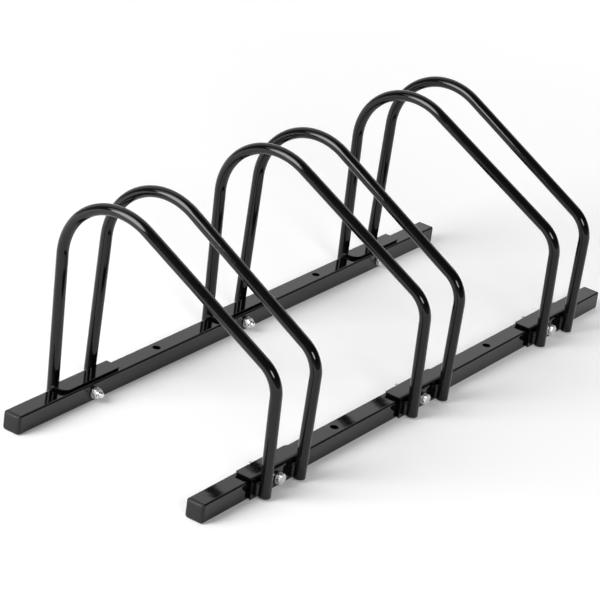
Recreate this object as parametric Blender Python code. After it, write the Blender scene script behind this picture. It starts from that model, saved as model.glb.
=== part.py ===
"""Floor rack for three bicycles.

Two square rails lie on the floor. Three pairs of bent tube hoops stand across them, each pair
holding one wheel. The feet of a pair are welded to sheet brackets, one on each rail, and a bolt
through each bracket clamps it to its rail.

X runs along the rails, Y from the low front of the hoops to their high back, Z up. The origin
lies on the floor under the middle of the rack. Sizes are in metres.
"""
import math

import bmesh
import bpy
from mathutils import Matrix, Vector

# Fits
SEAT_GAP = 0.0003
BORE_GAP = 0.0004

# Rails
RAIL_SIDE = 0.020
RAIL_WALL = 0.0012
RAIL_CORNER = 0.002
RAILS_OUTSIDE_WIDTH = 0.243

# Wheel places along the rails, and the floor-fixing holes in the free runs of rail between them
WHEEL_PLACES = 3
WHEEL_PITCH = 0.248
RAIL_PAST_LAST_WHEEL = 0.1082
FLOOR_HOLE = 0.0085
FLOOR_HOLE_OFF_MIDDLE = 0.015

# Hoops, two to a wheel, leaning apart as they rise
TUBE = 0.012
TUBE_WALL = 0.0012
LEG_SPACING = 0.055
SPLAY = math.radians(1.9)
REAR_LEG_HEIGHT = 0.158
ARCH_RADIUS = 0.067
SLANT = math.radians(28.7)
KNEE_RADIUS = 0.033
LEG_LIFT = 0.0025

# Foot brackets
SHEET = 0.003
SHEET_BEND = 0.001
BRACKET_PAST_LEG = 0.0145
BRACKET_ROUND_CORNER = 0.0085
BRACKET_SHARP_CORNER = 0.002
BRACKET_INSET = 0.0025
FLANGE_LIFT = 0.001

# Weld beads beside the legs, in the wedge between leg and flange. The angles run round the leg
# from the line where it touches the flange.
BEAD_MARGIN = 0.002
BEAD_ROOT = 0.0005
BEAD_TOE = 0.0026
BEAD_CROWN = 0.0006
BEAD_FROM = math.radians(30)
BEAD_TO = math.radians(66)
BEAD_END_FULLNESS = 0.55
BEAD_END_LENGTH = 0.002

# Bolts, washers and lock nuts
BOLT = 0.006
HEAD_FLATS = 0.010
HEAD_HEIGHT = 0.004
HEAD_EDGE = 0.0005
THREAD_PAST_NUT = 0.003
THREAD_TIP = 0.0008
WASHER = 0.012
WASHER_THICKNESS = 0.0016
NUT_HEIGHT = 0.006
NUT_COLLAR_HEIGHT = 0.0018
NUT_COLLAR_WALL = 0.0012

# End caps
CAP_HEAD = 0.0035
CAP_EDGE = 0.0015
CAP_INSERT = 0.014
CAP_BARBS = 3
CAP_BARB_DEPTH = 0.0010
CAP_WALL = 0.0020

# Facets
TUBE_SIDES = 14
BEND_STEP = math.radians(10)
ROUND_SIDES = 12
HOLE_SIDES = 16
CORNER_STEPS = 2

# Sizes and places that follow. The faces and seats are distances out from the rack's middle.
RAIL_LENGTH = (WHEEL_PLACES - 1) * WHEEL_PITCH + 2 * RAIL_PAST_LAST_WHEEL
BRACKET_LENGTH = LEG_SPACING + 2 * BRACKET_PAST_LEG
RAIL_OUTER_FACE = RAILS_OUTSIDE_WIDTH / 2
RAIL_INNER_FACE = RAIL_OUTER_FACE - RAIL_SIDE
RAIL_MIDDLE = RAIL_OUTER_FACE - RAIL_SIDE / 2
FLANGE_INNER_FACE = RAIL_OUTER_FACE + SEAT_GAP
FLANGE_FACE = FLANGE_INNER_FACE + SHEET
LEG_AXIS = FLANGE_FACE + SEAT_GAP + TUBE / 2
BORE = BOLT + 2 * BORE_GAP
BOLT_AXIS = RAIL_SIDE / 2
HEAD_WASHER_FACE = FLANGE_FACE + SEAT_GAP + WASHER_THICKNESS
HEAD_SEAT = HEAD_WASHER_FACE + SEAT_GAP
NUT_WASHER_FACE = RAIL_INNER_FACE - SEAT_GAP
NUT_SEAT = NUT_WASHER_FACE - WASHER_THICKNESS - SEAT_GAP
BOLT_LENGTH = HEAD_SEAT - NUT_SEAT + NUT_HEIGHT + THREAD_PAST_NUT


def new_object(name, mesh, material, parent=None):
    obj = bpy.data.objects.new(name, mesh)
    bpy.context.collection.objects.link(obj)
    if not obj.data.materials:
        obj.data.materials.append(material)
    obj.parent = parent
    return obj


def finished_mesh(bm, name, sharp=math.radians(35)):
    bmesh.ops.recalc_face_normals(bm, faces=bm.faces)
    mesh = bpy.data.meshes.new(name)
    bm.to_mesh(mesh)
    bm.free()
    mesh.shade_smooth()
    mesh.set_sharp_from_angle(angle=sharp)
    return mesh


def combined(mesh, tools, name):
    """Applies Boolean steps, each a pair of operation and tool mesh, and returns the result."""
    body = bpy.data.objects.new(name, mesh)
    bpy.context.collection.objects.link(body)
    helpers = []
    for operation, tool_mesh in tools:
        tool = bpy.data.objects.new(name + "_tool", tool_mesh)
        bpy.context.collection.objects.link(tool)
        tool.hide_render = True
        tool.display_type = "WIRE"
        step = body.modifiers.new(operation.title(), "BOOLEAN")
        step.operation = operation
        step.solver = "EXACT"
        step.object = tool
        helpers.append(tool)
    graph = bpy.context.evaluated_depsgraph_get()
    result = bpy.data.meshes.new_from_object(body.evaluated_get(graph))
    result.name = name
    for helper in helpers + [body]:
        bpy.data.objects.remove(helper)
    return result


def join_rings(bm, first, second):
    count = len(first)
    for i in range(count):
        j = (i + 1) % count
        bm.faces.new((first[i], first[j], second[j], second[i]))


def loft(bm, sections, closed=False):
    """Skins rings of points in order. A closed loft joins its last ring to its first."""
    rings = [[bm.verts.new(point) for point in section] for section in sections]
    for first, second in zip(rings, rings[1:]):
        join_rings(bm, first, second)
    if closed:
        join_rings(bm, rings[-1], rings[0])
    else:
        bm.faces.new(rings[0][::-1])
        bm.faces.new(rings[-1])
    return rings


def circle(radius, sides, along, turn=0.0):
    """Ring of points about the Y axis at Y = along."""
    angles = [turn + 2 * math.pi * i / sides for i in range(sides)]
    return [Vector((radius * math.cos(a), along, radius * math.sin(a))) for a in angles]


def rounded_square(side, corner, along):
    """Ring of points about the X axis at X = along."""
    reach = side / 2 - corner
    points = []
    for quarter in range(4):
        middle = math.radians(45 + 90 * quarter)
        centre_y = math.copysign(reach, math.cos(middle))
        centre_z = math.copysign(reach, math.sin(middle))
        for step in range(CORNER_STEPS + 1):
            angle = math.radians(90 * (quarter + step / CORNER_STEPS))
            points.append(Vector((along, centre_y + corner * math.cos(angle),
                                  centre_z + corner * math.sin(angle))))
    return points


def drill(bm, radius, sides, start, end):
    """Adds a closed cylinder from start to end."""
    direction = end - start
    turn = Vector((0, 1, 0)).rotation_difference(direction).to_matrix()
    loft(bm, [[start + turn @ p for p in circle(radius, sides, along)] for along in (0, direction.length)])


def wheel_positions():
    middle = (WHEEL_PLACES - 1) / 2
    return [(place - middle) * WHEEL_PITCH for place in range(WHEEL_PLACES)]


def rail_mesh():
    """Square tube about the X axis with its floor-fixing and cross-bolt holes."""
    end = RAIL_LENGTH / 2
    inside = RAIL_SIDE - 2 * RAIL_WALL
    inside_corner = max(RAIL_CORNER - RAIL_WALL, RAIL_WALL / 2)
    bm = bmesh.new()
    loft(bm, [rounded_square(RAIL_SIDE, RAIL_CORNER, -end), rounded_square(RAIL_SIDE, RAIL_CORNER, end),
              rounded_square(inside, inside_corner, end), rounded_square(inside, inside_corner, -end)], closed=True)
    tube = finished_mesh(bm, "rail_tube")
    drills = bmesh.new()
    floor_hole_x = wheel_positions()[-1] - WHEEL_PITCH / 2 + FLOOR_HOLE_OFF_MIDDLE
    for x in (-floor_hole_x, floor_hole_x):
        drill(drills, FLOOR_HOLE / 2, HOLE_SIDES, Vector((x, 0, -RAIL_SIDE)), Vector((x, 0, RAIL_SIDE)))
    for x in wheel_positions():
        drill(drills, BORE / 2, ROUND_SIDES, Vector((x, -RAIL_SIDE, 0)), Vector((x, RAIL_SIDE, 0)))
    return combined(tube, [("DIFFERENCE", finished_mesh(drills, "rail_drills"))], "rail")


def cap_mesh():
    """End cap about the X axis: head towards +X, barbed hollow insert towards -X, rail's end at X = 0."""
    tip = RAIL_SIDE - 2 * RAIL_WALL - 2 * SEAT_GAP
    core = tip - 2 * CAP_BARB_DEPTH
    hollow = core - 2 * CAP_WALL
    insert_corner = RAIL_CORNER / 2
    shoulder = SEAT_GAP + CAP_HEAD - CAP_EDGE
    sections = []
    for step in range(CORNER_STEPS, -1, -1):
        angle = math.radians(90 * step / CORNER_STEPS)
        inwards = CAP_EDGE * (1 - math.cos(angle))
        sections.append(rounded_square(RAIL_SIDE - 2 * inwards, RAIL_CORNER - inwards / 2,
                                       shoulder + CAP_EDGE * math.sin(angle)))
    sections.append(rounded_square(RAIL_SIDE, RAIL_CORNER, SEAT_GAP))
    sections.append(rounded_square(core, insert_corner, SEAT_GAP))
    pitch = CAP_INSERT / (CAP_BARBS + 1)
    for barb in range(1, CAP_BARBS + 1):
        sections.append(rounded_square(core, insert_corner, (0.5 - barb) * pitch))
        sections.append(rounded_square(tip, insert_corner, (0.5 - barb) * pitch - SEAT_GAP))
    sections.append(rounded_square(core, insert_corner, -CAP_BARBS * pitch))
    sections.append(rounded_square(core, insert_corner, -CAP_INSERT))
    sections.append(rounded_square(hollow, insert_corner, -CAP_INSERT))
    sections.append(rounded_square(hollow, insert_corner, 0))
    bm = bmesh.new()
    loft(bm, sections)
    return finished_mesh(bm, "end_cap")


def knee_centre():
    """Centre of the lower bend, which brings the slanted run down to the front leg."""
    arch_end_y = LEG_AXIS - ARCH_RADIUS * (1 + math.sin(SLANT))
    arch_end_z = REAR_LEG_HEIGHT + ARCH_RADIUS * math.cos(SLANT)
    knee_start_y = -LEG_AXIS + KNEE_RADIUS * (1 - math.sin(SLANT))
    run = (arch_end_y - knee_start_y) / math.cos(SLANT)
    knee_start_z = arch_end_z - run * math.sin(SLANT)
    return run, Vector((0, -LEG_AXIS + KNEE_RADIUS, knee_start_z - KNEE_RADIUS * math.cos(SLANT)))


def swept_wall(bm, radius):
    """Follows the hoop's path with a circle: extrusions for the straight runs, spins for the bends."""
    run, knee = knee_centre()
    arch = Vector((0, LEG_AXIS - ARCH_RADIUS, REAR_LEG_HEIGHT))
    arch_turn = math.pi / 2 + SLANT
    knee_turn = math.pi / 2 - SLANT
    foot = Matrix.Translation((0, LEG_AXIS, LEG_LIFT))
    ring = bmesh.ops.create_circle(bm, segments=TUBE_SIDES, radius=radius, matrix=foot)["verts"]
    start = list({edge for vert in ring for edge in vert.link_edges})

    def straight(edges, offset):
        made = bmesh.ops.extrude_edge_only(bm, edges=edges)["geom"]
        bmesh.ops.translate(bm, vec=offset, verts=[g for g in made if isinstance(g, bmesh.types.BMVert)])
        return [g for g in made if isinstance(g, bmesh.types.BMEdge)]

    def bend(edges, centre, angle):
        steps = math.ceil(angle / BEND_STEP)
        made = bmesh.ops.spin(bm, geom=edges, cent=centre, axis=(1, 0, 0), angle=angle, steps=steps)
        return [g for g in made["geom_last"] if isinstance(g, bmesh.types.BMEdge)]

    edges = straight(start, Vector((0, 0, REAR_LEG_HEIGHT - LEG_LIFT)))
    edges = bend(edges, arch, arch_turn)
    edges = straight(edges, Vector((0, -math.cos(SLANT), -math.sin(SLANT))) * run)
    edges = bend(edges, knee, knee_turn)
    end = straight(edges, Vector((0, 0, LEG_LIFT - knee.z)))
    return start, end


def close_end(bm, outer_edges, inner_edges):
    """Closes the tube wall's cut end with a face from each outer edge to the inner points beside it."""
    inner = {vert for edge in inner_edges for vert in edge.verts}
    for edge in outer_edges:
        beside = [min(inner, key=lambda vert: (vert.co - end.co).length) for end in edge.verts]
        bm.faces.new((edge.verts[0], edge.verts[1], beside[1], beside[0]))


def hoop_mesh():
    bm = bmesh.new()
    outer_ends = swept_wall(bm, TUBE / 2)
    inner_ends = swept_wall(bm, TUBE / 2 - TUBE_WALL)
    for outer_edges, inner_edges in zip(outer_ends, inner_ends):
        close_end(bm, outer_edges, inner_edges)
    return finished_mesh(bm, "hoop")


def folded_sheet():
    """Bracket sheet for a flange on the -Y side, made as an L profile drawn along X.

    The plate's free edge has a sharp corner at its left end and a round one at its right.
    """
    top = RAIL_SIDE + SEAT_GAP
    plate_edge = -RAIL_MIDDLE + RAIL_SIDE / 2 - BRACKET_INSET
    inner_y = -FLANGE_INNER_FACE
    outer_bend = SHEET_BEND + SHEET
    centre = Vector((0, inner_y + SHEET_BEND, top - SHEET_BEND))

    def arc(radius):
        angles = [math.radians(90 + 90 * i / 4) for i in range(5)]
        return [centre + Vector((0, radius * math.cos(a), radius * math.sin(a))) for a in angles]

    profile = [Vector((0, plate_edge, top + SHEET))] + arc(outer_bend)
    profile += [Vector((0, -FLANGE_FACE, FLANGE_LIFT)), Vector((0, inner_y, FLANGE_LIFT))]
    profile += arc(SHEET_BEND)[::-1] + [Vector((0, plate_edge, top))]
    half = Vector((BRACKET_LENGTH / 2, 0, 0))
    bm = bmesh.new()
    ends = loft(bm, [[p - half for p in profile], [p + half for p in profile]])
    for ring, corner in zip(ends, (BRACKET_SHARP_CORNER, BRACKET_ROUND_CORNER)):
        upright = bm.edges.get((ring[0], ring[-1]))
        bmesh.ops.bevel(bm, geom=[upright], offset=corner, segments=5, profile=0.5, affect="EDGES")
    return finished_mesh(bm, "bracket_sheet")


def bead_section(side, fullness, height):
    """Weld bead's outline round the leg's foot, fuller in the run than at its ends."""
    reach = TUBE / 2 + SEAT_GAP
    top = BEAD_FROM + (BEAD_TO - BEAD_FROM) * fullness
    points = [(reach * math.sin(a), reach * (1 - math.cos(a))) for a in (BEAD_FROM, (BEAD_FROM + top) / 2, top)]
    crest_x, crest_y = points[-1]
    toe = crest_x + BEAD_TOE * fullness
    points.append(((crest_x + toe) / 2 + BEAD_CROWN, crest_y / 2 + BEAD_CROWN))
    points.append((toe, 0))
    points.append((toe, -BEAD_ROOT))
    points.append((points[0][0], -BEAD_ROOT))
    return [Vector((side * x, -y, height)) for x, y in points]


def bead_body(bm, lean, leg_x, side):
    """One weld bead, drawn up beside the leg that stands at leg_x and leaning with it."""
    low = FLANGE_LIFT + BEAD_MARGIN
    high = RAIL_SIDE - BEAD_MARGIN
    sections = [bead_section(side, BEAD_END_FULLNESS, low), bead_section(side, 1, low + BEAD_END_LENGTH),
                bead_section(side, 1, high - BEAD_END_LENGTH), bead_section(side, BEAD_END_FULLNESS, high)]
    foot = Vector((leg_x, -FLANGE_FACE, 0))
    loft(bm, [[foot + lean @ point for point in section] for section in sections])


def bracket_mesh():
    """Foot bracket of the front rail, with its bolt hole and the beads that hold the legs."""
    beads = bmesh.new()
    for hand in (-1, 1):
        lean = Matrix.Rotation(hand * SPLAY, 3, "Y")
        for side in (-1, 1):
            bead_body(beads, lean, hand * LEG_SPACING / 2, side)
    hole = bmesh.new()
    drill(hole, BORE / 2, ROUND_SIDES, Vector((0, -FLANGE_FACE - SHEET, BOLT_AXIS)),
          Vector((0, -FLANGE_INNER_FACE + SHEET, BOLT_AXIS)))
    tools = [("UNION", finished_mesh(beads, "beads")), ("DIFFERENCE", finished_mesh(hole, "bolt_hole"))]
    return combined(folded_sheet(), tools, "foot_bracket")


def washer_mesh():
    rings = [circle(WASHER / 2, ROUND_SIDES, 0), circle(WASHER / 2, ROUND_SIDES, WASHER_THICKNESS),
             circle(BORE / 2, ROUND_SIDES, WASHER_THICKNESS), circle(BORE / 2, ROUND_SIDES, 0)]
    bm = bmesh.new()
    loft(bm, rings, closed=True)
    return finished_mesh(bm, "washer")


def hexagon(edge, along):
    """Ring of a hexagon about the Y axis, drawn in from the full flats by edge."""
    return circle(HEAD_FLATS / math.sqrt(3) - edge, 6, along, math.radians(30))


def bolt_mesh():
    """Hex bolt along Y: the head's seat at Y = 0, the shank towards +Y."""
    bm = bmesh.new()
    head = loft(bm, [hexagon(HEAD_EDGE, -HEAD_HEIGHT), hexagon(0, HEAD_EDGE - HEAD_HEIGHT), hexagon(0, 0)])
    shank = [circle(BOLT / 2, ROUND_SIDES, y) for y in (0, BOLT_LENGTH - THREAD_TIP)]
    shank.append(circle(BOLT / 2 - THREAD_TIP, ROUND_SIDES, BOLT_LENGTH))
    rings = loft(bm, shank)
    seats = (set(head[-1]), set(rings[0]))
    bmesh.ops.delete(bm, geom=[face for face in bm.faces if set(face.verts) in seats], context="FACES_ONLY")
    bmesh.ops.bridge_loops(bm, edges=[edge for edge in bm.edges if edge.is_boundary])
    return finished_mesh(bm, "hex_bolt")


def nut_mesh():
    """Lock nut along Y: its seat at Y = 0, the round collar towards +Y."""
    hex_top = NUT_HEIGHT - NUT_COLLAR_HEIGHT
    collar = BORE / 2 + NUT_COLLAR_WALL
    bm = bmesh.new()
    sides = [[bm.verts.new(point) for point in hexagon(0, y)] for y in (0, hex_top)]
    join_rings(bm, *sides)
    rounds = [circle(collar, ROUND_SIDES, hex_top), circle(collar, ROUND_SIDES, NUT_HEIGHT - HEAD_EDGE),
              circle(collar - HEAD_EDGE, ROUND_SIDES, NUT_HEIGHT), circle(BORE / 2, ROUND_SIDES, NUT_HEIGHT),
              circle(BORE / 2, ROUND_SIDES, 0)]
    rings = [[bm.verts.new(point) for point in ring] for ring in rounds]
    for first, second in zip(rings, rings[1:]):
        join_rings(bm, first, second)
    for pair in ((sides[1], rings[0]), (sides[0], rings[-1])):
        ends = {vert for ring in pair for vert in ring}
        rim = [edge for edge in bm.edges if edge.is_boundary and set(edge.verts) <= ends]
        bmesh.ops.bridge_loops(bm, edges=rim)
    return finished_mesh(bm, "lock_nut")


def material(name, colour, roughness, metallic):
    made = bpy.data.materials.new(name)
    made.use_nodes = True
    shader = made.node_tree.nodes["Principled BSDF"]
    shader.inputs["Base Color"].default_value = (*colour, 1)
    shader.inputs["Roughness"].default_value = roughness
    shader.inputs["Metallic"].default_value = metallic
    return made


def place_rails(paint, plastic, root):
    rail = rail_mesh()
    cap = cap_mesh()
    for name, side in (("front", -1), ("rear", 1)):
        piece = new_object(name + "_rail", rail, paint, root)
        piece.location = (0, side * RAIL_MIDDLE, RAIL_SIDE / 2)
        for hand_name, hand in (("left", -1), ("right", 1)):
            end = new_object(f"{name}_{hand_name}_end_cap", cap, plastic, root)
            end.location = (hand * RAIL_LENGTH / 2, side * RAIL_MIDDLE, RAIL_SIDE / 2)
            end.rotation_euler.z = 0 if hand > 0 else math.pi


def place_hoops(paint, root):
    hoop = hoop_mesh()
    for number, x in enumerate(wheel_positions(), 1):
        for hand_name, hand in (("left", -1), ("right", 1)):
            piece = new_object(f"wheel_{number}_{hand_name}_hoop", hoop, paint, root)
            piece.location = (x + hand * LEG_SPACING / 2, 0, 0)
            piece.rotation_euler.y = hand * SPLAY


def place_feet(paint, zinc, root):
    """Brackets and bolt stacks are made for the front rail. The rear ones are turned half round."""
    bracket = bracket_mesh()
    washer = washer_mesh()
    stack = (("bolt", bolt_mesh(), HEAD_SEAT), ("head_washer", washer, HEAD_WASHER_FACE),
             ("nut_washer", washer, NUT_WASHER_FACE), ("lock_nut", nut_mesh(), NUT_SEAT))
    for name, turn in (("front", 0), ("rear", math.pi)):
        for number, x in enumerate(wheel_positions(), 1):
            foot = bpy.data.objects.new(f"{name}_foot_{number}", None)
            bpy.context.collection.objects.link(foot)
            foot.parent = root
            foot.location = (x, 0, 0)
            foot.rotation_euler.z = turn
            new_object(f"{name}_bracket_{number}", bracket, paint, foot)
            for part_name, mesh, seat in stack:
                piece = new_object(f"{name}_{part_name}_{number}", mesh, zinc, foot)
                piece.location = (0, -seat, BOLT_AXIS)


def main():
    for obj in list(bpy.data.objects):
        bpy.data.objects.remove(obj)
    root = bpy.data.objects.new("bicycle_rack", None)
    bpy.context.collection.objects.link(root)
    paint = material("gloss_black_paint", (0.012, 0.012, 0.013), 0.18, 0.0)
    plastic = material("dark_grey_plastic", (0.030, 0.030, 0.032), 0.45, 0.0)
    zinc = material("zinc_plate", (0.72, 0.73, 0.75), 0.28, 1.0)
    place_rails(paint, plastic, root)
    place_hoops(paint, root)
    place_feet(paint, zinc, root)


main()
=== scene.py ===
"""Looks of a floor rack for three bicycles: fine shapes and materials over its solids, in a studio.

Sizes are in metres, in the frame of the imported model: X along the rails, Y from the low front of the
hoops to their high back, Z up, with the origin on the floor under the middle.
"""
import math

import bmesh
import bpy
from mathutils import Matrix, Vector, noise

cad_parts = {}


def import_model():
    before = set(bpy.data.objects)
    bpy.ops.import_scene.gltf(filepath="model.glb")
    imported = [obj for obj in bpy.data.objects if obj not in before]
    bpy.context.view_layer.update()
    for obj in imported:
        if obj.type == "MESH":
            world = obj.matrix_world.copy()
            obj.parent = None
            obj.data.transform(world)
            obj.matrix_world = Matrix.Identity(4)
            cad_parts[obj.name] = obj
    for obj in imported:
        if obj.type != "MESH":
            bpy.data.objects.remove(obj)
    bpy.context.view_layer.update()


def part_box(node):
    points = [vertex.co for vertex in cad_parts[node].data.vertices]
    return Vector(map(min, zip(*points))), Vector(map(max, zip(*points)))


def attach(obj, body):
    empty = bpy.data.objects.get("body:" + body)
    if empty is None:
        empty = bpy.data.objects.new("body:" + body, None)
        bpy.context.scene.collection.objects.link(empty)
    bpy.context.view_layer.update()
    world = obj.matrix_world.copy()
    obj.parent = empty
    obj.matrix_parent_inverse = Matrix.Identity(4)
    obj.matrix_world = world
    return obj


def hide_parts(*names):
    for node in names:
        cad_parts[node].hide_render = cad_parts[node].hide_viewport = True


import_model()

# Sizes and places read from the frame
RAIL_LOW, RAIL_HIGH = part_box("front_rail")
RAIL_LENGTH = RAIL_HIGH.x - RAIL_LOW.x
RAIL_SIDE = RAIL_HIGH.z - RAIL_LOW.z
RAIL_MIDDLE = -(RAIL_HIGH.y + RAIL_LOW.y) / 2
CAP_LOW, CAP_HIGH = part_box("front_right_end_cap")
BRACKET_LOW, BRACKET_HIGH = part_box("front_bracket_2")
BRACKET_LENGTH = BRACKET_HIGH.x - BRACKET_LOW.x
WHEELS = [sum(corner.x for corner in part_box(f"front_bracket_{number}")) / 2 for number in (1, 2, 3)]
HOOP_LOW, HOOP_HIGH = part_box("wheel_1_left_hoop")
BOLT_LOW, BOLT_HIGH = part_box("front_bolt_2")
BOLT_AXIS = (BOLT_LOW.z + BOLT_HIGH.z) / 2
HEAD_WASHER_LOW, HEAD_WASHER_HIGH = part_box("front_head_washer_2")
NUT_WASHER_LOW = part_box("front_nut_washer_2")[0]
NUT_LOW, NUT_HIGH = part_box("front_lock_nut_2")
NUT_HEIGHT = NUT_HIGH.y - NUT_LOW.y

# Gap between neighbouring solids
GAP = 0.0003

# Hoops
TUBE = 0.012
TUBE_WALL = 0.0012
TUBE_CUT_EDGE = 0.00025
LEG_SPACING = 0.055
SPLAY = math.radians(1.9)
REAR_LEG_HEIGHT = 0.158
ARCH_RADIUS = 0.067
SLANT = math.radians(28.7)
KNEE_RADIUS = 0.033

# A bend flattens the tube by a share and widens it by a share of that. Both fade out over a length.
BEND_FLATTENING = 0.022
BEND_WIDENING = 0.6
BEND_FADE = 0.012

# Rails
RAIL_WALL = 0.0012
RAIL_CORNER = 0.002
FLOOR_HOLE = 0.0085
FLOOR_HOLE_X = 0.139
BORE = 0.0068
HOLE_EDGE = 0.0002

# End caps
CAP_EDGE = 0.0028
CAP_FACE_CORNER = 0.0045
CAP_CROWN = 0.00025
CAP_WALL = 0.0020
CAP_BARBS = 3
CAP_BARB_DEPTH = 0.0010
CAP_BARB_LIP = 0.0003

# Brackets
SHEET = 0.003
SHEET_BEND = 0.001
SHEET_EDGE = 0.0003
SHEAR_LEAN = math.radians(14)
BRACKET_SHARP_CORNER = 0.002
BRACKET_ROUND_CORNER = 0.0085

# Weld beads. Their angles are taken round the leg, from its point nearest the flange.
BEAD_FROM = math.radians(30)
BEAD_TO = math.radians(66)
BEAD_TOE = 0.0026
BEAD_ROOT = 0.0005
BEAD_CROWN = 0.0012
BEAD_MARGIN = 0.002
BEAD_END = 0.0018
BEAD_END_FULLNESS = 0.35
BEAD_WANDER = 0.10
BEAD_WANDER_LENGTH = 0.004
RIPPLE_DEPTH = 0.00013
RIPPLE_PITCH = 0.0013
RIPPLE_SWEEP = 0.55
RIPPLE_WANDER = 0.25
RIPPLE_MEAN = 0.6
RIPPLE_FADE = 3

# Bolts
BOLT = 0.006
HEAD_FLATS = 0.010
HEAD_HEIGHT = 0.004
HEAD_SEAT = 0.0003
NECK_WIDTH = 0.0002
NECK_LENGTH = 0.0004
THREAD_LENGTH = 0.018
THREAD_PITCH = 0.001
THREAD_DEPTH = 0.54 * THREAD_PITCH
THREAD_TIP = 0.0008

# End faces of heads and nuts, round inside their chamfer. The head is dished between shares of its face.
FACE_RADIUS = 0.94 * HEAD_FLATS / 2
CHAMFER_SLOPE = math.tan(math.radians(30))
DISH_DEPTH = 0.00008
DISH_FLOOR = 0.4
DISH_RIM = 0.9

# Shape of the thread: how steeply its flank rises, and how flat its root is
THREAD_FLANK = 2.6
THREAD_ROOT = 0.12

# Lock nuts and the nylon rings in them, whose depths are below the nut's top
NUT_CHAMFER = 0.0004
NUT_COLLAR_HEIGHT = 0.0018
NUT_COLLAR_WALL = 0.0012
NUT_COLLAR_BEND = 0.0007
NUT_MOUTH = 0.0004
CRIMP = 0.00015
CRIMP_DEPTH = 0.0002
CRIMP_END = 0.0005
RING_TOP = 0.0004
RING_FOOT = 0.0016
RING_BITE = 0.0003
RING_GRIP = 0.0001
RING_OUTER_CHAMFER = 0.0002
RING_INNER_CHAMFER = 0.0003

# Washers
WASHER_ROLL = 0.0004
WASHER_BURR = 0.0001
WASHER_BORE_EDGE = 0.0002

# Fineness of the meshes. The round sides are a multiple of six, for the hexagons.
HOOP_SIDES = 40
HOOP_SPACING = 0.006
HOOP_BEND_STEP = math.radians(2.5)
TUBE_BORE_SPACING = 0.020
TUBE_BORE_BEND_STEP = math.radians(7.5)
CORNER_STEPS = 8
FLOOR_HOLE_SIDES = 40
BORE_SIDES = 32
HOLE_EDGE_STEPS = 2
CAP_EDGE_STEPS = 8
CAP_CROWN_SHARES = (0.25, 0.5, 0.75)
SHEET_BEND_STEPS = 8
SHEET_EDGE_STEPS = 3
BRACKET_CORNER_STEPS = 12
BEAD_STEPS = 72
BEAD_FACE_POINTS = 9
ROUND_SIDES = 72
RINGS_PER_PITCH = 14
NUT_COLLAR_STEPS = 6
WASHER_ROLL_STEPS = 4

# Shading of edges
SHARP_EDGE = math.radians(35)
SHARP_EDGE_OF_FASTENERS = math.radians(32)
SHARP_EDGE_OF_SOFT_FORMS = math.radians(50)
ROUNDED_EDGE = math.radians(40)
ROUND_PROFILE = 0.5
FLATS_WEIGHT = 80

# Looks of the materials: colours from darkest to palest, roughness from clearest to cloudiest
PAINT_COLOURS = ((0.0022, 0.0022, 0.0025), (0.0042, 0.0042, 0.0046))
FLATS_IOR = 1.44
FLATS_ROUGHNESS = (0.035, 0.06)
TUBE_IOR = 1.40
TUBE_ROUGHNESS = (0.05, 0.08)
DUST_FROM = 0.62
DUST_FULL = 0.75
DUST_ROUGHNESS = 0.10
PLASTIC_COLOURS = ((0.005, 0.005, 0.0055), (0.009, 0.009, 0.0095))
PLASTIC_IOR = 1.42
PLASTIC_ROUGHNESS = (0.46, 0.60)
ZINC_COLOURS = ((0.74, 0.75, 0.77), (0.86, 0.87, 0.88))
ZINC_ROUGHNESS = (0.22, 0.36)
NYLON_COLOURS = ((0.62, 0.63, 0.60), (0.74, 0.75, 0.73))
NYLON_IOR = 1.53
NYLON_SUBSURFACE = 0.1
NYLON_ROUGHNESS = (0.35, 0.5)

# Nearly all of a noise lies between these
NOISE_LOW = 0.3
NOISE_HIGH = 0.7

# Sockets of a mix node that belong to its colours
MIX_FIRST = 6
MIX_SECOND = 7
MIX_RESULT = 2

# Camera, with its focal length in pixels of the square image and its sensor in millimetres
IMAGE_SIDE = 600
CAMERA_PLACE = Vector((-2.1198, -1.3310, 1.2161))
CAMERA_HEADING = math.radians(-57.152)
CAMERA_TILT = math.radians(-24.634)
CAMERA_ROLL = math.radians(7.821)
FOCAL_PIXELS = 2686.25
SENSOR_WIDTH = 36
CLIP_START = 0.05
CLIP_END = 100

# Studio, with azimuths, elevations and the roll in degrees
LIGHTS_AIM = Vector((0, 0, 0.1))
KEY_ROLL = -18.8
BACKDROP_AZIMUTH = 45
BACKDROP_ELEVATION = 22
BACKDROP_WHITE = math.radians(42)
BACKDROP_EDGE = math.radians(62)
ROOM_LOW = 0.25
ROOM_HIGH = 0.03
ROOM_TOP = 0.35
FLOOR_SIZE = 60
FLOOR_DROP = 0.0002
FLOOR_COLOUR = 0.8
FLOOR_ROUGHNESS = 0.9
FLOOR_GLOW = 0.58
GLOW_FROM = Vector((-0.5, 0.1, 0))
GLOW_REACH = 2.0
WHITE = (1, 1, 1, 1)

# Places that follow from these
LEG_AXIS = (HOOP_HIGH.y - HOOP_LOW.y) / 2 - TUBE / 2
LEG_LIFT = HOOP_LOW.z
FLANGE_FACE = LEG_AXIS - TUBE / 2 - GAP
FLANGE_LIFT = BRACKET_LOW.z


# Helpers

def new_piece(name, mesh, material, node, place):
    """Adds a piece of the rack's one body. It stands for a CAD node, unless node is None."""
    piece = bpy.data.objects.new(name, mesh)
    bpy.context.scene.collection.objects.link(piece)
    piece.matrix_world = place
    if not mesh.materials:
        mesh.materials.append(material)
    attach(piece, "root")
    if node:
        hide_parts(node)
    return piece


def finished_mesh(bm, name, sharp=SHARP_EDGE):
    """Turns the bmesh into a mesh that is smooth apart from the edges past the sharp angle."""
    bmesh.ops.recalc_face_normals(bm, faces=bm.faces)
    mesh = bpy.data.meshes.new(name)
    bm.to_mesh(mesh)
    bm.free()
    mesh.shade_smooth()
    mesh.set_sharp_from_angle(angle=sharp)
    return mesh


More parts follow.
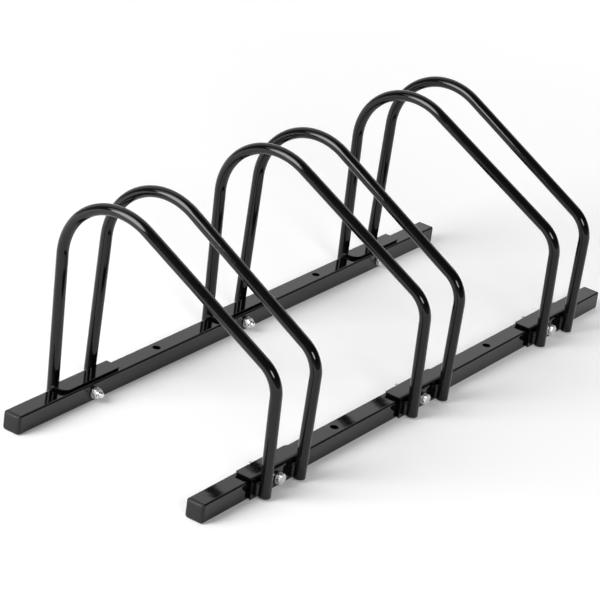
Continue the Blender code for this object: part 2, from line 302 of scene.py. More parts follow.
def with_holes_and_round_edges(mesh, holes, width, segments, name):
    """Cuts the holes into the mesh, rounds its sharp edges and keeps its flats flat."""
    body = bpy.data.objects.new(name, mesh)
    cutter = bpy.data.objects.new(name + "_holes", holes)
    for helper in (body, cutter):
        bpy.context.scene.collection.objects.link(helper)
    cut = body.modifiers.new("Holes", "BOOLEAN")
    cut.operation = "DIFFERENCE"
    cut.solver = "EXACT"
    cut.object = cutter
    bevel = body.modifiers.new("Edges", "BEVEL")
    bevel.width = width
    bevel.segments = segments
    bevel.limit_method = "ANGLE"
    bevel.angle_limit = ROUNDED_EDGE
    bevel.use_clamp_overlap = True
    bevel.harden_normals = False
    weighted = body.modifiers.new("Flats", "WEIGHTED_NORMAL")
    weighted.weight = FLATS_WEIGHT
    weighted.keep_sharp = False
    graph = bpy.context.evaluated_depsgraph_get()
    result = bpy.data.meshes.new_from_object(body.evaluated_get(graph))
    result.name = name
    for helper in (body, cutter):
        bpy.data.objects.remove(helper)
    return result


def join_rings(bm, first, second):
    """Fills the band between two rings of equally many points."""
    count = len(first)
    for i in range(count):
        j = (i + 1) % count
        bm.faces.new((first[i], first[j], second[j], second[i]))


def loft(bm, sections, closed=False):
    """Skins rings of points in order. A closed loft joins its last ring to its first."""
    rings = [[bm.verts.new(point) for point in section] for section in sections]
    for first, second in zip(rings, rings[1:]):
        join_rings(bm, first, second)
    if closed:
        join_rings(bm, rings[-1], rings[0])
    else:
        bm.faces.new(rings[0][::-1])
        bm.faces.new(rings[-1])
    return rings


def lofted_mesh(sections, name, sharp=SHARP_EDGE, closed=False):
    """Mesh of one loft."""
    bm = bmesh.new()
    loft(bm, sections, closed)
    return finished_mesh(bm, name, sharp)


def about_y(radius, angle, along):
    """Point at a radius and angle about the Y axis."""
    return Vector((radius * math.cos(angle), along, radius * math.sin(angle)))


def circle(radius, sides, along):
    """Ring of points about the Y axis at Y = along."""
    return [about_y(radius, 2 * math.pi * i / sides, along) for i in range(sides)]


def turned(profile):
    """Rings about the Y axis, one for each pair of a radius and a place along the axis."""
    return [circle(radius, ROUND_SIDES, along) for radius, along in profile]


def quarter_round(steps):
    """Pairs round a quarter of a unit circle: how far in from its side, and how far down from its top."""
    angles = [math.pi / 2 * step / steps for step in range(steps + 1)]
    return [(1 - math.cos(angle), 1 - math.sin(angle)) for angle in angles]


def rounded_square(side, corner, along):
    """Ring of points about the X axis at X = along."""
    reach = side / 2 - corner
    points = []
    for quarter in range(4):
        middle = math.radians(45 + 90 * quarter)
        centre_y = math.copysign(reach, math.cos(middle))
        centre_z = math.copysign(reach, math.sin(middle))
        for step in range(CORNER_STEPS + 1):
            angle = math.radians(90 * (quarter + step / CORNER_STEPS))
            points.append(Vector((along, centre_y + corner * math.cos(angle),
                                  centre_z + corner * math.sin(angle))))
    return points


def drill(bm, radius, sides, start, end):
    """Adds a closed cylinder from start to end."""
    axis = end - start
    turn = Vector((0, 1, 0)).rotation_difference(axis).to_matrix()
    loft(bm, [[start + turn @ point for point in circle(radius, sides, along)] for along in (0, axis.length)])


# Hoops

def straight_stations(start, end, heading, spacing, bend_at):
    """Stations from start to end, the ends left out, flattened near the ends where bend_at is true."""
    length = (end - start).length
    count = max(2, round(length / spacing))
    stations = []
    for i in range(1, count):
        along = length * i / count
        near = min(distance for distance, bend in zip((along, length - along), bend_at) if bend)
        fade = max(0.0, 1 - near / BEND_FADE)
        flattening = BEND_FLATTENING * fade * fade * (3 - 2 * fade)
        stations.append((start.lerp(end, i / count), heading, flattening))
    return stations


def bend_stations(centre, radius, first, last, step):
    """Stations round a bend, from its first heading to its last."""
    count = math.ceil((last - first) / step)
    headings = [first + (last - first) * i / count for i in range(count + 1)]
    return [(centre + Vector((0, math.cos(heading), math.sin(heading))) * radius, heading, BEND_FLATTENING)
            for heading in headings]


def hoop_stations(spacing, step):
    """Centre line from the rear foot over the arch to the front foot: point, heading and flattening.

    A heading of 0 is straight up and of 180 degrees straight down.
    """
    rear_foot = Vector((0, LEG_AXIS, LEG_LIFT))
    arch = Vector((0, LEG_AXIS - ARCH_RADIUS, REAR_LEG_HEIGHT))
    run_heading = math.pi / 2 + SLANT
    arch_bend = bend_stations(arch, ARCH_RADIUS, 0, run_heading, step)
    arch_end = arch_bend[-1][0]
    knee_start_y = -LEG_AXIS + KNEE_RADIUS * (1 - math.sin(SLANT))
    drop = (arch_end.y - knee_start_y) * math.tan(SLANT)
    knee = Vector((0, -LEG_AXIS + KNEE_RADIUS, arch_end.z - drop - KNEE_RADIUS * math.cos(SLANT)))
    knee_bend = bend_stations(knee, KNEE_RADIUS, run_heading, math.pi, step)
    front_foot = Vector((0, -LEG_AXIS, LEG_LIFT))
    stations = [(rear_foot, 0, 0)]
    stations += straight_stations(rear_foot, arch_bend[0][0], 0, spacing, (False, True))
    stations += arch_bend
    stations += straight_stations(arch_end, knee_bend[0][0], run_heading, spacing, (True, True))
    stations += knee_bend
    stations += straight_stations(knee_bend[-1][0], front_foot, math.pi, spacing, (True, False))
    stations.append((front_foot, math.pi, 0))
    return stations


def tube_ring(station, radius, back=0.0):
    """Ring of the tube at a station, moved back along the line by that much."""
    point, heading, flattening = station
    across = Vector((0, math.cos(heading), math.sin(heading)))
    travel = Vector((0, -math.sin(heading), math.cos(heading)))
    flat = radius * (1 - flattening)
    wide = radius * (1 + flattening * BEND_WIDENING)
    ring = []
    for i in range(HOOP_SIDES):
        angle = 2 * math.pi * i / HOOP_SIDES
        sideways = Vector((wide * math.cos(angle), 0, 0))
        ring.append(point - travel * back + sideways + across * flat * math.sin(angle))
    return ring


def hoop_mesh():
    """One hollow tube about X = 0, with a small edge round both of its cut ends."""
    outside = TUBE / 2
    inside = outside - TUBE_WALL
    edge = TUBE_CUT_EDGE
    stations = hoop_stations(HOOP_SPACING, HOOP_BEND_STEP)
    bore = hoop_stations(TUBE_BORE_SPACING, TUBE_BORE_BEND_STEP)
    first, last = stations[0], stations[-1]
    sections = [tube_ring(first, outside - edge), tube_ring(first, outside, -edge)]
    sections += [tube_ring(station, outside) for station in stations[1:-1]]
    sections += [tube_ring(last, outside, edge), tube_ring(last, outside - edge)]
    sections += [tube_ring(last, inside + edge), tube_ring(last, inside, edge)]
    sections += [tube_ring(station, inside) for station in bore[-2:0:-1]]
    sections += [tube_ring(first, inside, -edge), tube_ring(first, inside + edge)]
    return lofted_mesh(sections, "hoop", closed=True)


# Rails and end caps

def rail_mesh():
    """Square tube about the X axis, with its floor holes upright and its bolt holes level."""
    end = RAIL_LENGTH / 2
    inside = RAIL_SIDE - 2 * RAIL_WALL
    inside_corner = RAIL_CORNER - RAIL_WALL
    sections = [rounded_square(RAIL_SIDE, RAIL_CORNER, along) for along in (-end, end)]
    sections += [rounded_square(inside, inside_corner, along) for along in (end, -end)]
    drills = bmesh.new()
    for x in (-FLOOR_HOLE_X, FLOOR_HOLE_X):
        drill(drills, FLOOR_HOLE / 2, FLOOR_HOLE_SIDES, Vector((x, 0, -RAIL_SIDE)), Vector((x, 0, RAIL_SIDE)))
    for x in WHEELS:
        drill(drills, BORE / 2, BORE_SIDES, Vector((x, -RAIL_SIDE, 0)), Vector((x, RAIL_SIDE, 0)))
    tube = lofted_mesh(sections, "rail_tube", closed=True)
    holes = finished_mesh(drills, "rail_holes")
    return with_holes_and_round_edges(tube, holes, HOLE_EDGE, HOLE_EDGE_STEPS, "rail")


def cap_mesh():
    """End cap about the X axis, with the rail's end at X = 0 and its crowned face towards +X."""
    face = CAP_HIGH.x - RAIL_HIGH.x - CAP_CROWN
    face_side = RAIL_SIDE - 2 * CAP_EDGE
    insert = RAIL_HIGH.x - CAP_LOW.x
    tip = RAIL_SIDE - 2 * RAIL_WALL - 2 * GAP
    core = tip - 2 * CAP_BARB_DEPTH
    hollow = core - 2 * CAP_WALL
    corner = RAIL_CORNER / 2
    outlines = []
    for share in CAP_CROWN_SHARES:
        crown = CAP_CROWN * (1 - share * share)
        outlines.append((face_side * share, CAP_FACE_CORNER * share, face + crown))
    for inwards, down in reversed(quarter_round(CAP_EDGE_STEPS)):
        head_corner = RAIL_CORNER + (CAP_FACE_CORNER - RAIL_CORNER) * inwards
        outlines.append((RAIL_SIDE - 2 * CAP_EDGE * inwards, head_corner, face - CAP_EDGE * down))
    outlines.append((RAIL_SIDE, RAIL_CORNER, GAP + HOLE_EDGE))
    outlines.append((RAIL_SIDE - 2 * HOLE_EDGE, RAIL_CORNER, GAP))
    outlines.append((core, corner, GAP))
    pitch = insert / (CAP_BARBS + 1)
    for barb in range(CAP_BARBS):
        start = -(barb + 0.5) * pitch
        outlines.append((core, corner, start))
        outlines.append((tip, corner, start - CAP_BARB_LIP))
        outlines.append((tip, corner, start - 2 * CAP_BARB_LIP))
    outlines.append((core, corner, -CAP_BARBS * pitch))
    outlines.append((core, corner, -insert))
    outlines.append((hollow, corner, -insert))
    outlines.append((hollow, corner, 0))
    sections = [rounded_square(*outline) for outline in outlines]
    return lofted_mesh(sections, "end_cap")


# Brackets and their weld beads, modelled for the front rail about X = 0

def round_corner(bm, ends, radius):
    """Rounds the edge between two points, which is a corner of the sheet."""
    bmesh.ops.bevel(bm, geom=[bm.edges.get(ends)], offset=radius, segments=BRACKET_CORNER_STEPS,
                    profile=ROUND_PROFILE, affect="EDGES")


def bracket_mesh():
    """Folded sheet whose cut edges lean inwards, as shears leave them."""
    lean = SHEET * math.tan(SHEAR_LEAN)
    underside = BRACKET_HIGH.z - SHEET
    plate_edge = BRACKET_HIGH.y
    inner_y = -FLANGE_FACE + SHEET
    centre = Vector((0, inner_y + SHEET_BEND, underside - SHEET_BEND))

    def fold(radius):
        angles = [math.radians(90 + 90 * i / SHEET_BEND_STEPS) for i in range(SHEET_BEND_STEPS + 1)]
        return [centre + Vector((0, radius * math.cos(angle), radius * math.sin(angle))) for angle in angles]

    outer = [Vector((0, plate_edge, BRACKET_HIGH.z))] + fold(SHEET_BEND + SHEET)
    outer.append(Vector((0, -FLANGE_FACE, FLANGE_LIFT)))
    inner = [Vector((0, plate_edge - lean, underside))] + fold(SHEET_BEND)
    inner.append(Vector((0, inner_y, FLANGE_LIFT + lean)))
    half = Vector((BRACKET_LENGTH / 2, 0, 0))
    inner_half = half - Vector((lean, 0, 0))
    sections = [(above - half, above + half, below + inner_half, below - inner_half)
                for above, below in zip(outer, inner)]
    bm = bmesh.new()
    left, right, right_below, left_below = loft(bm, sections)[0]
    round_corner(bm, (left, left_below), BRACKET_SHARP_CORNER)
    round_corner(bm, (right, right_below), BRACKET_ROUND_CORNER)
    drills = bmesh.new()
    drill(drills, BORE / 2, BORE_SIDES, Vector((0, -FLANGE_FACE - SHEET, BOLT_AXIS)),
          Vector((0, inner_y + SHEET, BOLT_AXIS)))
    sheet = finished_mesh(bm, "sheet")
    hole = finished_mesh(drills, "bracket_hole")
    return with_holes_and_round_edges(sheet, hole, SHEET_EDGE, SHEET_EDGE_STEPS, "bracket")


def bead_section(side, height, low, high, seed):
    """Outline of a weld bead at a height: its face from the leg to the flange, then back in the metal."""
    reach = TUBE / 2 + GAP
    rise = min(1.0, min(height - low, high - height) / BEAD_END)
    fullness = math.sqrt(max(0.0, 1 - (1 - rise) ** 2))
    wander = noise.noise(Vector((seed, height / BEAD_WANDER_LENGTH, 0)))
    fullness *= 1 + BEAD_WANDER * wander
    fullness = BEAD_END_FULLNESS + (1 - BEAD_END_FULLNESS) * fullness
    top = BEAD_FROM + (BEAD_TO - BEAD_FROM) * fullness
    crest = Vector((reach * math.sin(top), reach * (1 - math.cos(top))))
    toe = Vector((crest.x + BEAD_TOE * fullness, 0))
    outward = Vector((crest.y, toe.x - crest.x)).normalized()
    points = []
    for i in range(BEAD_FACE_POINTS):
        share = i / (BEAD_FACE_POINTS - 1)
        bulge = 4 * share * (1 - share)
        phase = height / RIPPLE_PITCH + RIPPLE_SWEEP * bulge + RIPPLE_WANDER * wander
        wave = abs(math.sin(math.pi * phase)) - RIPPLE_MEAN
        ripple = RIPPLE_DEPTH * wave * min(1, RIPPLE_FADE * bulge)
        points.append(crest.lerp(toe, share) + outward * (BEAD_CROWN * bulge * fullness + ripple))
    points.append(Vector((toe.x, -BEAD_ROOT)))
    points.append(Vector((reach * math.sin(BEAD_FROM), -BEAD_ROOT)))
    points.append(Vector((reach * math.sin(BEAD_FROM), reach * (1 - math.cos(BEAD_FROM)))))
    return [Vector((side * point.x, -point.y, height)) for point in points]


def beads_mesh():
    """The four weld beads of a bracket, two beside each leg."""
    low = FLANGE_LIFT + BEAD_MARGIN
    high = RAIL_SIDE - BEAD_MARGIN
    heights = [low + (high - low) * i / BEAD_STEPS for i in range(BEAD_STEPS + 1)]
    bm = bmesh.new()
    for hand in (-1, 1):
        lean = Matrix.Rotation(hand * SPLAY, 3, "Y")
        foot = Vector((hand * LEG_SPACING / 2, -FLANGE_FACE, 0))
        for side in (-1, 1):
            seed = 3 * hand + side
            sections = [bead_section(side, height, low, high, seed) for height in heights]
            loft(bm, [[foot + lean @ point for point in section] for section in sections])
    return finished_mesh(bm, "weld_beads", SHARP_EDGE_OF_SOFT_FORMS)


# Bolts, washers and lock nuts, about the Y axis

def hexagon_radius(angle):
    """Distance from the axis to the side of a head or nut."""
    sixth = math.pi / 3
    return HEAD_FLATS / 2 / math.cos((angle % sixth) - sixth / 2)


def hexagon_ring(along, chamfer_towards=0):
    """Ring round a head or nut. With a chamfer, its corners are drawn back as a cone cuts them."""
    ring = []
    for i in range(ROUND_SIDES):
        angle = 2 * math.pi * i / ROUND_SIDES
        radius = hexagon_radius(angle)
        back = max(0.0, radius - FACE_RADIUS) * CHAMFER_SLOPE
        ring.append(about_y(radius, angle, along - chamfer_towards * back))
    return ring


def thread_radius(along, angle, tip):
    """Radius of the thread's flank at a place along the shank and round it, with the tip's chamfer."""
    phase = (along / THREAD_PITCH - angle / (2 * math.pi)) % 1
    ridge = min(1.0, max(0.0, (0.5 - abs(phase - 0.5)) * THREAD_FLANK - THREAD_ROOT))
    radius = BOLT / 2 - THREAD_DEPTH * (1 - ridge)
    return min(radius, BOLT / 2 - THREAD_TIP + (tip - along))


def bolt_mesh():
    """Hex bolt along Y: the head's seat at Y = 0, the shank towards +Y, threaded over its last stretch."""
    length = BOLT_HIGH.y - BOLT_LOW.y - HEAD_HEIGHT
    start = length - THREAD_LENGTH
    shank = BOLT / 2
    sections = turned([(FACE_RADIUS * DISH_FLOOR, DISH_DEPTH - HEAD_HEIGHT),
                       (FACE_RADIUS * DISH_RIM, -HEAD_HEIGHT), (FACE_RADIUS, -HEAD_HEIGHT)])
    sections += [hexagon_ring(-HEAD_HEIGHT, -1), hexagon_ring(-HEAD_SEAT)]
    sections += turned([(FACE_RADIUS, -HEAD_SEAT), (FACE_RADIUS, 0), (shank + NECK_WIDTH, 0),
                        (shank, NECK_LENGTH), (shank, start)])
    count = round(THREAD_LENGTH / THREAD_PITCH * RINGS_PER_PITCH)
    for i in range(1, count + 1):
        along = start + THREAD_LENGTH * i / count
        blend = min(1.0, (along - start) / THREAD_PITCH)
        ring = []
        for k in range(ROUND_SIDES):
            angle = 2 * math.pi * k / ROUND_SIDES
            radius = shank * (1 - blend) + thread_radius(along, angle, length) * blend
            ring.append(about_y(radius, angle, along))
        sections.append(ring)
    return lofted_mesh(sections, "hex_bolt", SHARP_EDGE_OF_FASTENERS)


def nut_mesh():
    """Lock nut along Y: its seat at Y = 0, the crimped round collar towards +Y."""
    hex_top = NUT_HEIGHT - NUT_COLLAR_HEIGHT
    bore = BORE / 2
    collar = bore + NUT_COLLAR_WALL
    mouth = bore + NUT_MOUTH
    rings = turned([(bore, NUT_CHAMFER), (bore + NUT_CHAMFER, 0), (FACE_RADIUS, 0)])
    rings += [hexagon_ring(0, -1), hexagon_ring(hex_top, 1)]
    rings += turned([(collar, hex_top)])
    rings += turned([(collar - NUT_COLLAR_BEND * inwards, NUT_HEIGHT - NUT_COLLAR_BEND * down)
                     for inwards, down in quarter_round(NUT_COLLAR_STEPS)])
    rings += turned([(mouth, NUT_HEIGHT), (mouth - CRIMP, NUT_HEIGHT - CRIMP_DEPTH),
                     (mouth, NUT_HEIGHT - CRIMP_END), (bore, hex_top)])
    return lofted_mesh(rings, "lock_nut", SHARP_EDGE_OF_FASTENERS, closed=True)


def nylon_ring_mesh():
    """Nylon ring inside the lock nut's collar, which grips the bolt."""
    foot = NUT_HEIGHT - RING_FOOT
    top = NUT_HEIGHT - RING_TOP
    outer = BORE / 2 + RING_BITE
    inner = BOLT / 2 - RING_GRIP
    rings = turned([(outer, foot), (outer, top - RING_OUTER_CHAMFER), (outer - RING_OUTER_CHAMFER, top),
                    (inner + RING_INNER_CHAMFER, top), (inner, top - RING_INNER_CHAMFER), (inner, foot)])
    return lofted_mesh(rings, "nylon_ring", SHARP_EDGE_OF_SOFT_FORMS, closed=True)


def washer_mesh():
    """Pressed washer along Y: rolled edge on the side that was punched, small burr chamfer on the other."""
    thickness = HEAD_WASHER_HIGH.y - HEAD_WASHER_LOW.y
    outer = (HEAD_WASHER_HIGH.x - HEAD_WASHER_LOW.x) / 2
    bore = BORE / 2
    rings = turned([(outer - WASHER_ROLL * down, WASHER_ROLL * inwards)
                    for inwards, down in quarter_round(WASHER_ROLL_STEPS)])
    rings += turned([(outer, thickness - WASHER_BURR), (outer - WASHER_BURR, thickness),
                     (bore + WASHER_BURR, thickness), (bore, thickness - WASHER_BURR),
                     (bore, WASHER_BORE_EDGE), (bore + WASHER_BORE_EDGE, 0)])
    return lofted_mesh(rings, "washer", SHARP_EDGE_OF_FASTENERS, closed=True)


# Nodes of the materials and the world

class Nodes:
    """Short ways to add nodes to a tree."""

    def __init__(self, tree):
        self.tree = tree

    def add(self, kind, **settings):
        node = self.tree.nodes.new(kind)
        for key, value in settings.items():
            setattr(node, key, value)
        return node

    def feed(self, socket, value):
        """Links an output to the socket, or gives the socket a plain value."""
        if isinstance(value, bpy.types.NodeSocket):
            self.tree.links.new(value, socket)
        else:
            socket.default_value = value

    def place(self, output):
        return self.add("ShaderNodeTexCoord").outputs[output]

    def maths(self, operation, first, second):
        node = self.add("ShaderNodeMath", operation=operation)
        self.feed(node.inputs[0], first)
        self.feed(node.inputs[1], second)
        return node.outputs["Value"]

    def vector(self, operation, first, second=None):
        """Vector maths. The result is a number, unless the operation is NORMALIZE."""
        node = self.add("ShaderNodeVectorMath", operation=operation)
        self.feed(node.inputs[0], first)
        if second is not None:
            self.feed(node.inputs[1], second)
        return node.outputs["Vector" if operation == "NORMALIZE" else "Value"]

    def ranged(self, value, low, high, out_low, out_high, shape="LINEAR"):
        """Goes from out_low, where the value is low, to out_high, and stays between them."""
        node = self.add("ShaderNodeMapRange", interpolation_type=shape)
        for socket, given in zip(node.inputs, (value, low, high, out_low, out_high)):
            self.feed(socket, given)
        return node.outputs["Result"]


class Surface(Nodes):
    """A new material whose shader starts with the values given, and short ways to add its patterns."""

    def __init__(self, name, **values):
        self.material = bpy.data.materials.new(name)
        self.material.use_nodes = True
        super().__init__(self.material.node_tree)
        self.shader = self.tree.nodes["Principled BSDF"]
        self.normal = None
        for socket, value in values.items():
            self.set(socket.replace("_", " "), value)

    def set(self, socket, value):
        self.feed(self.shader.inputs[socket], value)

    def noise(self, size, detail=2, roughness=0.5):
        """Noise whose features are about size metres across."""
        mapping = self.add("ShaderNodeMapping")
        self.feed(mapping.inputs["Vector"], self.place("Object"))
        self.feed(mapping.inputs["Scale"], [1 / size] * 3)
        texture = self.add("ShaderNodeTexNoise")
        self.feed(texture.inputs["Vector"], mapping.outputs["Vector"])
        self.feed(texture.inputs["Scale"], 1)
        self.feed(texture.inputs["Detail"], detail)
        self.feed(texture.inputs["Roughness"], roughness)
        return texture.outputs["Fac"]

    def spread(self, pattern, ends):
        """Turns a noise into numbers between the two ends."""
        return self.ranged(pattern, NOISE_LOW, NOISE_HIGH, *ends)

    def mixed(self, pattern, colours):
        """Turns a noise into a mixture of two colours."""
        node = self.add("ShaderNodeMix", data_type="RGBA")
        self.feed(node.inputs["Factor"], pattern)
        self.feed(node.inputs[MIX_FIRST], (*colours[0], 1))
        self.feed(node.inputs[MIX_SECOND], (*colours[1], 1))
        return node.outputs[MIX_RESULT]

    def bump(self, pattern, depth):
        """Adds a bump of a depth in metres to the bumps before it."""
        node = self.add("ShaderNodeBump")
        self.feed(node.inputs["Height"], pattern)
        self.feed(node.inputs["Distance"], depth)
        self.feed(node.inputs["Strength"], 1)
        if self.normal:
            self.feed(node.inputs["Normal"], self.normal)
        self.normal = node.outputs["Normal"]
        self.set("Normal", self.normal)


# Materials

def gloss_paint(name, ior, roughness):
    """Black gloss coat: faint orange peel, slow waves in the film and a little dust in its shine."""
    paint = Surface(name, IOR=ior)
    paint.set("Base Color", paint.mixed(paint.noise(size=0.030, detail=3), PAINT_COLOURS))
    sheen = paint.spread(paint.noise(size=0.018, detail=3), roughness)
    dust = paint.noise(size=0.0006, detail=4, roughness=0.7)
    specks = paint.ranged(dust, DUST_FROM, DUST_FULL, 0.0, DUST_ROUGHNESS)
    paint.set("Roughness", paint.maths("ADD", sheen, specks))
    paint.bump(paint.noise(size=0.012, detail=1), depth=0.00003)
    paint.bump(paint.noise(size=0.0016, detail=2), depth=0.000004)
    return paint.material


def cap_plastic():
    """Moulded plastic with an eroded texture from its mould."""
    plastic = Surface("dark_grey_plastic", IOR=PLASTIC_IOR)
    plastic.set("Base Color", plastic.mixed(plastic.noise(size=0.006, detail=3), PLASTIC_COLOURS))
    plastic.set("Roughness", plastic.spread(plastic.noise(size=0.004, detail=3), PLASTIC_ROUGHNESS))
    plastic.bump(plastic.noise(size=0.00045, detail=3, roughness=0.6), depth=0.00004)
    return plastic.material


def zinc_plate():
    """Bright zinc: a slightly cloudy plating over drawn steel."""
    zinc = Surface("zinc_plate", Metallic=1.0)
    zinc.set("Base Color", zinc.mixed(zinc.noise(size=0.0022, detail=3), ZINC_COLOURS))
    zinc.set("Roughness", zinc.spread(zinc.noise(size=0.0011, detail=3), ZINC_ROUGHNESS))
    zinc.bump(zinc.noise(size=0.0005, detail=3, roughness=0.6), depth=0.000008)
    return zinc.material


def pale_nylon():
    """Milky nylon that lets a little light through."""
    nylon = Surface("nylon", IOR=NYLON_IOR, Subsurface_Weight=NYLON_SUBSURFACE)
    nylon.set("Base Color", nylon.mixed(nylon.noise(size=0.001), NYLON_COLOURS))
    nylon.set("Roughness", nylon.spread(nylon.noise(size=0.0004), NYLON_ROUGHNESS))
    return nylon.material


# Assembly

def dress():
    """Lays every fine piece over its solid. Returns the pieces with flat faces of gloss paint."""
    paint = gloss_paint("black_paint_on_flats", FLATS_IOR, FLATS_ROUGHNESS)
    tube_paint = gloss_paint("black_paint_on_tube", TUBE_IOR, TUBE_ROUGHNESS)
    plastic = cap_plastic()
    zinc = zinc_plate()
    nylon = pale_nylon()
    rail = rail_mesh()
    cap = cap_mesh()
    hoop = hoop_mesh()
    bracket = bracket_mesh()
    beads = beads_mesh()
    washer = washer_mesh()
    nylon_ring = nylon_ring_mesh()
    fasteners = [("bolt", bolt_mesh(), BOLT_LOW.y + HEAD_HEIGHT), ("head_washer", washer, HEAD_WASHER_LOW.y),
                 ("nut_washer", washer, NUT_WASHER_LOW.y), ("lock_nut", nut_mesh(), NUT_LOW.y)]
    as_made = Matrix.Identity(4)
    half_turn = Matrix.Rotation(math.pi, 4, "Z")
    flats = []
    for side_name, side in (("front", -1), ("rear", 1)):
        place = Matrix.Translation((0, side * RAIL_MIDDLE, RAIL_SIDE / 2))
        node = side_name + "_rail"
        flats.append(new_piece(node + "_tube", rail, paint, node, place))
        for hand_name, hand in (("left", -1), ("right", 1)):
            node = f"{side_name}_{hand_name}_end_cap"
            end = Matrix.Translation((hand * RAIL_LENGTH / 2, side * RAIL_MIDDLE, RAIL_SIDE / 2))
            place = end @ (as_made if hand > 0 else half_turn)
            new_piece(node + "_moulding", cap, plastic, node, place)
        for number, x in enumerate(WHEELS, 1):
            node = f"{side_name}_bracket_{number}"
            foot = Matrix.Translation((x, 0, 0)) @ (as_made if side < 0 else half_turn)
            flats.append(new_piece(node + "_sheet", bracket, paint, node, foot))
            new_piece(node + "_welds", beads, paint, None, foot)
            for kind, mesh, seat in fasteners:
                node = f"{side_name}_{kind}_{number}"
                place = foot @ Matrix.Translation((0, seat, BOLT_AXIS))
                new_piece(node + "_zinc", mesh, zinc, node, place)
            name = f"{side_name}_lock_nut_{number}_nylon"
            place = foot @ Matrix.Translation((0, NUT_LOW.y, BOLT_AXIS))
            new_piece(name, nylon_ring, nylon, None, place)
    for number, x in enumerate(WHEELS, 1):
        for hand_name, hand in (("left", -1), ("right", 1)):
            node = f"wheel_{number}_{hand_name}_hoop"
            leaning = Matrix.Rotation(hand * SPLAY, 4, "Y")
            place = Matrix.Translation((x + hand * LEG_SPACING / 2, 0, 0)) @ leaning
            new_piece(node + "_tube", hoop, tube_paint, node, place)
    return flats


# Studio

def direction(azimuth, elevation):
    """Unit vector at an azimuth from +Y towards +X and an elevation, both in degrees."""
    around = math.radians(azimuth)
    up = math.radians(elevation)
    return Vector((math.sin(around) * math.cos(up), math.cos(around) * math.cos(up), math.sin(up)))


def camera():
    """Camera where the photograph was taken from."""
    forward = Vector((-math.sin(CAMERA_HEADING) * math.cos(CAMERA_TILT),
                      math.cos(CAMERA_HEADING) * math.cos(CAMERA_TILT), math.sin(CAMERA_TILT)))
    right = forward.cross(Vector((0, 0, 1))).normalized()
    up = right.cross(forward)
    rolled_right = right * math.cos(CAMERA_ROLL) + up * math.sin(CAMERA_ROLL)
    rolled_up = up * math.cos(CAMERA_ROLL) - right * math.sin(CAMERA_ROLL)
    made = bpy.data.objects.new("camera", bpy.data.cameras.new("camera"))
    bpy.context.scene.collection.objects.link(made)
    axes = Matrix((rolled_right, rolled_up, -forward)).transposed()
    made.matrix_world = Matrix.Translation(CAMERA_PLACE) @ axes.to_4x4()
    made.data.sensor_width = SENSOR_WIDTH
    made.data.lens = FOCAL_PIXELS / IMAGE_SIDE * SENSOR_WIDTH
    made.data.clip_start = CLIP_START
    made.data.clip_end = CLIP_END
    bpy.context.scene.camera = made


def world():
    """Dim room with a round white backdrop behind the rack, the same for every kind of ray."""
    made = bpy.data.worlds.new("studio")
    made.use_nodes = True
    nodes = Nodes(made.node_tree)
    background = made.node_tree.nodes["Background"]
    towards = nodes.vector("NORMALIZE", nodes.place("Generated"))
    height = nodes.vector("DOT_PRODUCT", towards, (0, 0, 1))
    room = nodes.ranged(height, 0.0, ROOM_TOP, ROOM_LOW, ROOM_HIGH, "SMOOTHSTEP")
    nearness = nodes.vector("DOT_PRODUCT", towards, direction(BACKDROP_AZIMUTH, BACKDROP_ELEVATION))
    edge = math.cos(BACKDROP_EDGE)
    white = math.cos(BACKDROP_WHITE)
    backdrop = nodes.ranged(nearness, edge, white, 0.0, 1.0, "SMOOTHSTEP")
    nodes.feed(background.inputs["Color"], WHITE)
    nodes.feed(background.inputs["Strength"], nodes.maths("MAXIMUM", room, backdrop))
    bpy.context.scene.world = made


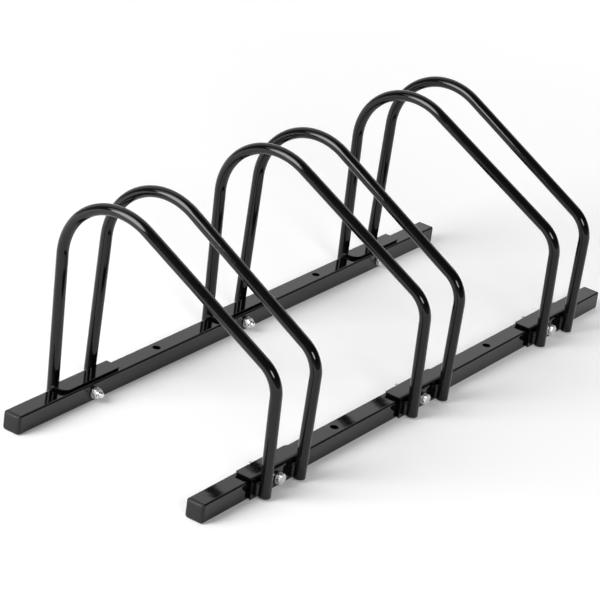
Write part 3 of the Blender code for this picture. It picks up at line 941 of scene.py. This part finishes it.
def white_table():
    """Matt white. What the key panel loses with distance, a glow makes up to the camera and in the gloss."""
    table = Surface("white_table", Roughness=FLOOR_ROUGHNESS, Specular_IOR_Level=0.0)
    table.set("Base Color", (FLOOR_COLOUR, FLOOR_COLOUR, FLOOR_COLOUR, 1))
    reach = table.vector("DISTANCE", table.place("Object"), GLOW_FROM)
    glow = table.ranged(reach, 0.0, GLOW_REACH, 0.0, FLOOR_GLOW)
    path = table.add("ShaderNodeLightPath")
    seen = table.maths("MAXIMUM", path.outputs["Is Camera Ray"], path.outputs["Is Glossy Ray"])
    seen = table.maths("MAXIMUM", seen, path.outputs["Is Transmission Ray"])
    table.set("Emission Color", WHITE)
    table.set("Emission Strength", table.maths("MULTIPLY", seen, glow))
    return table.material


def floor():
    """One wide face, just under the rack."""
    bm = bmesh.new()
    bmesh.ops.create_grid(bm, x_segments=1, y_segments=1, size=FLOOR_SIZE / 2)
    mesh = bpy.data.meshes.new("floor")
    bm.to_mesh(mesh)
    bm.free()
    mesh.materials.append(white_table())
    ground = bpy.data.objects.new("floor", mesh)
    ground.location.z = -FLOOR_DROP
    bpy.context.scene.collection.objects.link(ground)


def panel_light(name, azimuth, elevation, distance, width, height, radiance, roll=0):
    """Soft oval panel, turned by roll in its own plane. Angles are in degrees."""
    away = direction(azimuth, elevation)
    area = math.pi * width * height / 4
    data = bpy.data.lights.new(name, "AREA")
    data.shape = "ELLIPSE"
    data.size = width
    data.size_y = height
    data.energy = radiance * math.pi * area
    light = bpy.data.objects.new(name, data)
    bpy.context.scene.collection.objects.link(light)
    light.location = LIGHTS_AIM + away * distance
    turn = (-away).to_track_quat("-Z", "Y").to_matrix() @ Matrix.Rotation(math.radians(roll), 3, "Z")
    light.rotation_euler = turn.to_euler()
    light.visible_camera = False
    return light


def keep_glare_off(pieces, lights):
    """Makes the lights pass the pieces by, because flat gloss would mirror them as white patches."""
    spared = bpy.data.collections.new("spared_from_glare")
    for piece in pieces:
        spared.objects.link(piece)
    for member in spared.collection_objects:
        member.light_linking.link_state = "EXCLUDE"
    for light in lights:
        light.light_linking.receiver_collection = spared


def studio(flats):
    """White floor and backdrop, and three soft panels. The two bright ones pass the flats by."""
    bpy.context.scene.view_settings.view_transform = "Standard"
    camera()
    world()
    floor()
    key = panel_light("key_panel", azimuth=-68.2, elevation=25.8, distance=2.2, width=1.10, height=1.97,
                      radiance=10, roll=KEY_ROLL)
    panel_light("key_spill", azimuth=-64.2, elevation=39.0, distance=2.2, width=1.65, height=2.04,
                radiance=1.8, roll=KEY_ROLL)
    left = panel_light("left_panel", azimuth=-144, elevation=30, distance=6.0, width=2.2, height=1.8,
                       radiance=13)
    keep_glare_off(flats, (key, left))


studio(dress())
